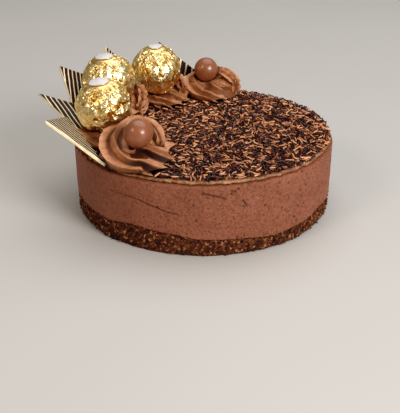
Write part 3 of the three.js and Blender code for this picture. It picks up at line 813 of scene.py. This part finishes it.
def tucked_under(points, other):
    """Draws cream that reaches inside a higher neighbour's ring back under that neighbour's rope."""
    local = turned(points - other["at"], -other["turn"]) / other["ring"]
    reach = np.maximum(np.hypot(local[:, 0], local[:, 1]), 1e-6)
    local[:, :2] /= np.minimum(reach, 1)[:, None]
    local[:, 2] = np.where(reach < 1, np.minimum(local[:, 2], other["base"] + 3), local[:, 2])
    return turned(local * other["ring"], other["turn"]) + other["at"]


# How dark the shade painted on the heart inside the ring is.
HEART_SHADE = 0.9


def make_rosette(order, material):
    r = ROSETTES[order]
    rope_points, rope_faces, groove, plain = rope_mesh(r, 100 + 20 * order)
    heart_points, heart_faces = heart_mesh(r, 60 + order)
    points = join([rope_points, heart_points])
    faces = join([rope_faces, heart_faces + len(rope_points)])
    rough = np.stack([rough_noise(points, 3.5, 90 + k, 3) for k in range(3)], -1)
    points = points + (0.1 + 0.2 * r["torn"]) * rough
    for other in ROSETTES[max(order - 1, 0):order + 2]:
        if other["layer"] > r["layer"]:
            points = tucked_under(points, other)
    points = seated(points)
    points[:, 2] = np.maximum(points[:, 2], ROSETTE_FLOOR)
    in_heart = np.ones(len(heart_points))
    # Painted shade: the heart and the recess round the ball are at least as dark as the grooves, and all of
    # it is scaled by the rosette's shade.
    recess = 0.95 * join([plain, in_heart]) * beside_balls(points)
    shade = np.maximum(join([groove, HEART_SHADE * in_heart]), recess) * r["shade"]
    piece = mesh_piece(f"piped_rosette_{r['name']}", points, faces, [material], values={"groove": shade})
    piece.data.set_sharp_from_angle(angle=radians(32))
    place(piece, "cream", f"rosette_{r['name']}")
    return points


# ---- chocolate strands ----
# The height field's cell and half-width, the height that closes a cell, and a cell's surroundings.
FIELD_CELL, FIELD_HALF, WALL = 0.4, 81.0, 99.0
NEIGHBOURS = [(i, j) for i in (-1, 0, 1) for j in (-1, 0, 1)]
# Strands: how many, the share of milk chocolate, how far out they lie, and how high they may pile up.
STRANDS = {"count": 5200, "milk": 0.42, "reach": 76.5, "pile": 1.35, "length": (2.6, 5.6),
           "radius": (0.36, 0.47)}


def field_index(values):
    return ((values + FIELD_HALF) / FIELD_CELL).astype(int)


def height_field(rosette_points):
    """What the strands fall on: a grid of heights, closed at the rosettes' feet and past the rim."""
    size = int(2 * FIELD_HALF / FIELD_CELL)
    grid = (np.arange(size) + 0.5) * FIELD_CELL - FIELD_HALF
    x, y = np.meshgrid(grid, grid, indexing="ij")
    level = LAYER_TOP + layer_rise(x, y)
    angle = np.arctan2(y, x)
    closed = np.hypot(x, y) > layer_edge(angle.ravel()).reshape(angle.shape) + 0.6
    low = rosette_points[rosette_points[:, 2] < 48.2]
    i, j = np.clip(field_index(low[:, :2]), 1, size - 2).T
    for di, dj in NEIGHBOURS:
        closed[i + di, j + dj] = True
    for r in ROSETTES:
        closed |= from_rosette(x, y, r, -8.5) < 1
    level[closed] = WALL
    return level


def drop_strands(level, rng):
    """Lets curved strands fall one by one on the height field. Gives middle line, radius and tint of each."""
    lines = []
    tries = 0
    t = np.linspace(-0.5, 0.5, 9)
    while len(lines) < STRANDS["count"] and tries < STRANDS["count"] * 14:
        tries += 1
        best = None
        for _ in range(3):
            angle = rng.uniform(-pi, pi)
            reach = 77.6 * sqrt(rng.uniform(0, 1))
            limit = STRANDS["reach"] - 0.7 * cos(angle + pi / 2) + 0.9 * cos(angle)
            if reach > limit + rng.uniform(-0.4, 0.9):
                continue
            length = rng.uniform(*STRANDS["length"])
            turn = rng.uniform(0, pi)
            heading = turn + rng.normal(0, 0.55) * t
            xy = np.cumsum(np.stack([np.cos(heading), np.sin(heading)], -1) * length / 8, 0)
            xy += np.array([reach * cos(angle), reach * sin(angle)]) - xy[4]
            i, j = field_index(xy).T
            if min(i.min(), j.min()) < 1 or max(i.max(), j.max()) > len(level) - 2:
                continue
            under = level[i, j]
            if under.max() > 90:
                continue
            line = np.clip(np.polyfit(t, under, 1)[0], -1.3, 1.3) * t
            z = line + (under - line).max()
            score = z.mean()
            if best is None or score < best[0]:
                best = (score, xy, z, i, j)
        if best is None or best[0] > LAYER_TOP + STRANDS["pile"]:
            continue
        _, xy, z, i, j = best
        radius = rng.uniform(*STRANDS["radius"])
        lines.append((np.column_stack([xy, z + radius * 0.9]), radius, rng.uniform(0, 1)))
        top = z + 2 * radius * 0.82
        for di, dj in NEIGHBOURS:
            patch = level[i + di, j + dj]
            lift = top - (0.22 if di or dj else 0)
            level[i + di, j + dj] = np.where(patch > 90, patch, np.maximum(patch, lift))
    return lines


def strand_mesh(name, lines, material, rng):
    sides = 5
    stops = np.array([0.0, 0.1, 0.5, 0.9, 1.0])
    swell = np.array([0.6, 0.97, 1.0, 0.95, 0.55])
    ring_angle = full_turn(sides)[None, :, None]
    quads = round_grid(len(stops), sides)
    last = (len(stops) - 1) * sides
    caps = [(0, k + 1, k) for k in range(1, sides - 1)]
    caps += [(last, last + k, last + k + 1) for k in range(1, sides - 1)]
    base = join([quads[:, [0, 1, 2]], quads[:, [0, 2, 3]], np.array(caps)])
    shapes = []
    for line, radius, _ in lines:
        along = stops * (len(line) - 1)
        centre = np.stack([np.interp(along, np.arange(len(line)), line[:, a]) for a in range(3)], -1)
        tangent = unit(np.gradient(centre, axis=0))
        side = unit(np.cross(tangent, (0, 0, 1.0)))
        up = np.cross(side, tangent)
        r = radius * swell[:, None, None] * (1 + 0.08 * rng.normal(size=(len(stops), 1, 1)))
        ring = np.cos(ring_angle) * side[:, None] + np.sin(ring_angle) * up[:, None]
        shapes.append((centre[:, None] + r * ring).reshape(-1, 3))
    return place(swarm(name, shapes, base, material, {"tint": [tint for _, _, tint in lines]}), "topping")


# ---- foil-wrapped chocolates, stickers and malt balls ----
def leaning(top):
    """Rotation that tips +Z towards top."""
    z = unit(top)
    axis = np.cross((0, 0, 1.0), z)
    sine = np.linalg.norm(axis)
    axis /= sine
    k = np.array([[0, -axis[2], axis[1]], [axis[2], 0, -axis[0]], [-axis[1], axis[0], 0]])
    return np.eye(3) + sine * k + (1 - z[2]) * k @ k


def split_faces(points, faces):
    """Splits every triangle in four. Also gives the ends of the edge that each new corner halves."""
    edges = np.sort(faces[:, [0, 1, 1, 2, 2, 0]].reshape(-1, 2), axis=1)
    ends, place_of = np.unique(edges, axis=0, return_inverse=True)
    middle = place_of.reshape(-1, 3) + len(points)
    a, b, c = faces.T
    ab, bc, ca = middle.T
    smaller = np.stack([a, ab, ca, ab, b, bc, ca, bc, c, ab, bc, ca], 1).reshape(-1, 3)
    return join([points, points[ends].mean(1)]), smaller, ends


def crumpled_ball(seed):
    """Crumpled foil as flat facets in facets: every round of new corners is pushed in or out a little less.
    Gives unit directions, how far each point is pushed out in millimetres, and the faces."""
    rng = np.random.default_rng(seed)
    direction, faces = sphere_points(3)
    points = unit(direction * (1, 1, 1.35)) * FOIL_RADIUS
    points = points + rng.normal(size=points.shape) * 0.7
    dent = rng.normal(size=len(points)) * 0.4
    shift = 0.45
    for push in (0.38, 0.19, 0.06):
        points, faces, ends = split_faces(points, faces)
        dent = join([dent, dent[ends].mean(1) + rng.normal(size=len(ends)) * push])
        points[-len(ends):] += rng.normal(size=(len(ends), 3)) * shift
        shift *= 0.5
    return unit(points), dent, faces


def make_foil(ball, order, material):
    direction, dent, faces = crumpled_ball(210 + order)
    away = smoothstep(1 - direction[:, 2], 0.06, 0.15)
    stretched = direction * FOIL_RADIUS * (1, 1, 0.45) + order * 41.0
    out = away * (0.8 * dent + 0.35 * rough_noise(stretched, 5.5, 230 + order, 3))
    radius = np.clip(FOIL_RADIUS - 0.1 + out, FOIL_RADIUS - 1.4, FOIL_RADIUS + 0.62)
    points = direction * radius[:, None] @ leaning(ball["top"]).T + ball["at"]
    corners = points[faces]
    facing = unit(np.cross(corners[:, 1] - corners[:, 0], corners[:, 2] - corners[:, 0]))
    outward = unit(corners.mean(1) - ball["at"])
    # Painted light and shade: facets tilted up towards the front right are lighter, and dents and the
    # underside are darker, with a little random spread.
    tilt = (facing - outward) @ unit((0.35, -0.45, 0.8))
    rng = np.random.default_rng(310 + order)
    hollow = np.clip(out[faces].mean(1), -0.9, 0.5)
    tone = 0.66 + 0.95 * tilt + 0.5 * hollow + 0.05 * rng.normal(size=len(faces))
    tone -= 0.16 * smoothstep(-outward[:, 2], 0.0, 0.9)
    tone = np.where(away[faces].mean(1) < 0.1, 0.6, tone)
    piece = mesh_piece(f"foil_ball_{ball['name']}", points, faces, [material], face_values={"tone": tone},
                       smooth=False)
    return place(piece, "foil", f"foil_chocolate_{ball['name']}")


def make_sticker(ball, paper, rim):
    """An oval cap on the foil, with a thin rim that stands a little proud."""
    columns = 96
    angle = full_turn(columns)
    inner, outer = FOIL_RADIUS + 0.3, FOIL_RADIUS + 0.6
    rows = [(0.01, inner), (0.5, inner), (0.99, inner), (1.0, inner + 0.06), (1.0, outer - 0.04),
            (0.985, outer), (0.93, outer), (0.92, outer - 0.05), (0.86, outer - 0.05), (0.5, outer - 0.04),
            (0.01, outer - 0.04)]
    points = []
    for part, radius in rows:
        oval = around(angle, 0.0, part) * (*ball["sticker"], 0)
        oval[:, 2] = np.sqrt(radius ** 2 - (oval ** 2).sum(1))
        points.append(oval)
    points = turned(join(points), ball["turn"]) @ leaning(ball["top"]).T + ball["at"]
    on_rim = np.repeat([0, 0, 1, 1, 1, 1, 1, 0, 0, 0], columns)
    piece = mesh_piece(f"oval_sticker_{ball['name']}", points, round_grid(len(rows), columns), [paper, rim],
                       face_material=on_rim)
    return place(piece, "sticker", f"sticker_{ball['name']}")


def make_malt(ball, order, sphere, material):
    direction, faces = sphere
    radius = MALT_RADIUS - 0.12 + 0.07 * rough_noise(direction * 8, 5, 400 + order, 3)
    points = direction * radius[:, None] + ball["at"]
    piece = mesh_piece(f"malt_sphere_{ball['name']}", points, faces, [material])
    return place(piece, "malt", f"malt_ball_{ball['name']}")


# ---- striped shards ----
STRIPE_TILT = radians(11)


def make_shard(shard, order, striped, ivory):
    """A triangular plate with striped faces and softened ivory edges."""
    a, b, c = (np.array(corner, float) for corner in shard["corners"])
    normal = unit(np.cross(b - a, c - a))
    long_edge = unit(c - a)
    inward = unit(np.cross(normal, long_edge))
    inward *= np.sign(inward @ (b - a))
    stripe = cos(STRIPE_TILT) * long_edge - sin(STRIPE_TILT) * inward
    crossing = unit(np.cross(normal, stripe))
    crossing *= np.sign(crossing @ (b - a))
    steps = 22
    places = [(i, j) for i in range(steps + 1) for j in range(steps + 1 - i)]
    index = {spot: k for k, spot in enumerate(places)}
    flat = np.array([a + (b - a) * i / steps + (c - a) * j / steps for i, j in places])
    tris = []
    for i, j in places:
        if i + j < steps:
            tris.append((index[i, j], index[i + 1, j], index[i, j + 1]))
        if i + j < steps - 1:
            tris.append((index[i + 1, j], index[i + 1, j + 1], index[i, j + 1]))
    tris = np.array(tris)
    border = [(i, 0) for i in range(steps)] + [(steps - j, j) for j in range(steps)]
    border += [(0, j) for j in range(steps, 0, -1)]
    border = np.array([index[spot] for spot in border])
    centre = (a + b + c) / 3
    half = SHARD_THICKNESS / 2
    face = flat + 0.08 * rough_noise(flat, 6, 500 + order, 3)[:, None] * normal
    face[border] += unit(centre - flat[border]) * 0.28
    waver = np.stack([0.12 * smooth_noise(flat[border], 2.0, 520 + k) for k in range(3)], -1)
    rim = flat[border] + waver - unit(flat[border] - centre) * 0.1
    out, rim_out = normal * (half - 0.03), normal * (half - 0.3)
    points = join([face + out, face - out, rim + rim_out, rim - rim_out])
    count, n = len(flat), len(border)
    k = np.arange(n)
    after = (k + 1) % n
    loops = [border, 2 * count + k, 2 * count + n + k, border + count]
    faces = [tris, tris[:, ::-1] + count]
    for first, second in zip(loops, loops[1:]):
        faces.append(np.stack([first, second, second[after]], 1))
        faces.append(np.stack([first, second[after], first[after]], 1))
    faces = join(faces)
    flat_map = np.stack([(points - a) @ crossing / shard["pitch"] + 0.05, (points - a) @ stripe / 10], 1)
    piece = mesh_piece(f"striped_plate_{shard['name']}", points, faces, [striped, ivory],
                       face_material=np.arange(len(faces)) >= 2 * len(tris), flat_uv=flat_map)
    bm = bmesh.new()
    bm.from_mesh(piece.data)
    bmesh.ops.recalc_face_normals(bm, faces=bm.faces)
    bm.to_mesh(piece.data)
    bm.free()
    return place(piece, "shard", f"striped_shard_{shard['name']}")


# ---- camera, light and floor ----
def make_camera():
    data = bpy.data.cameras.new("camera")
    data.sensor_width = 36
    data.lens = 65.14
    camera = bpy.data.objects.new("camera", data)
    camera.location = (-0.0021749, -0.4372354, 0.2120040)
    camera.rotation_euler = (radians(63.201), 0, 0)
    camera.rotation_euler.rotate_axis("Z", radians(-0.146))
    bpy.context.scene.collection.objects.link(camera)
    bpy.context.scene.camera = camera


def make_light(name, toward, distance, size, power, colour):
    data = bpy.data.lights.new(name, "AREA")
    data.shape = "DISK"
    data.size = size
    data.energy = power
    data.color = colour
    lamp = bpy.data.objects.new(name, data)
    direction = unit(toward)
    lamp.location = direction * distance + (0, 0, 0.04)
    lamp.rotation_mode = "QUATERNION"
    lamp.rotation_quaternion = Vector(direction).to_track_quat("Z", "Y")
    bpy.context.scene.collection.objects.link(lamp)


def make_stage():
    half = 4000.0
    points = [(-half, -half, -0.2), (half, -half, -0.2), (half, half, -0.2), (-half, half, -0.2)]
    floor = mesh_piece("floor", points, [(0, 1, 2, 3)], [floor_material()])
    world = bpy.data.worlds.new("studio")
    world.use_nodes = True
    background = world.node_tree.nodes["Background"]
    background.inputs["Color"].default_value = (1.0, 0.95, 0.9, 1)
    background.inputs["Strength"].default_value = 0.24
    bpy.context.scene.world = world
    make_light("key", (0.6, -0.66, 0.44), 1.3, 0.55, 15.5, (1.0, 0.97, 0.94))
    make_light("fill", (-0.6, -0.516, 0.62), 1.3, 0.4, 3.6, (1.0, 0.84, 0.64))
    make_light("back_top", (0.15, 0.35, 1.0), 1.4, 1.6, 12, (1.0, 0.98, 0.95))


def soft_contrast():
    """A gentle toe in the picture's tones, so that dark chocolate stays deep."""
    view = bpy.context.scene.view_settings
    view.view_transform = "Standard"
    view.look = "None"
    view.use_curve_mapping = True
    curve = view.curve_mapping.curves[3]
    toe = 0.028
    for x in (0.02, 0.05, 0.1, 0.2, 0.4, 0.7):
        curve.points.new(x, x * x / (x + toe))
    view.curve_mapping.update()


# ---- the cake ----
def main():
    make_camera()
    make_stage()
    soft_contrast()
    make_filling(filling_material())
    crumb = crumb_material()
    make_crumb(crumb)
    make_crumbs(crumb, nut_material())
    make_layer(layer_material())
    cream = cream_material()
    rosettes = [make_rosette(order, cream) for order in range(len(ROSETTES))]
    foil, paper, rim = foil_material(), sticker_material(), sticker_rim_material()
    for order, ball in enumerate(FOILS):
        make_foil(ball, order, foil)
        make_sticker(ball, paper, rim)
    malt = malt_material()
    plain_sphere = sphere_points(5)
    for order, ball in enumerate(MALTS):
        make_malt(ball, order, plain_sphere, malt)
    striped, ivory = shard_material(), ivory_material()
    for order, shard in enumerate(SHARDS):
        make_shard(shard, order, striped, ivory)
    rng = np.random.default_rng(8)
    lines = drop_strands(height_field(join(rosettes)), rng)
    in_milk = rng.uniform(size=len(lines)) < STRANDS["milk"]
    milk = strand_material("milk_strand", (116, 56, 32), (240, 173, 126), 0.36)
    dark = strand_material("dark_strand", (30, 9, 8), (80, 37, 29), 0.33)
    strand_mesh("strands_milk", [line for line, chosen in zip(lines, in_milk) if chosen], milk, rng)
    strand_mesh("strands_dark", [line for line, chosen in zip(lines, in_milk) if not chosen], dark, rng)


main()
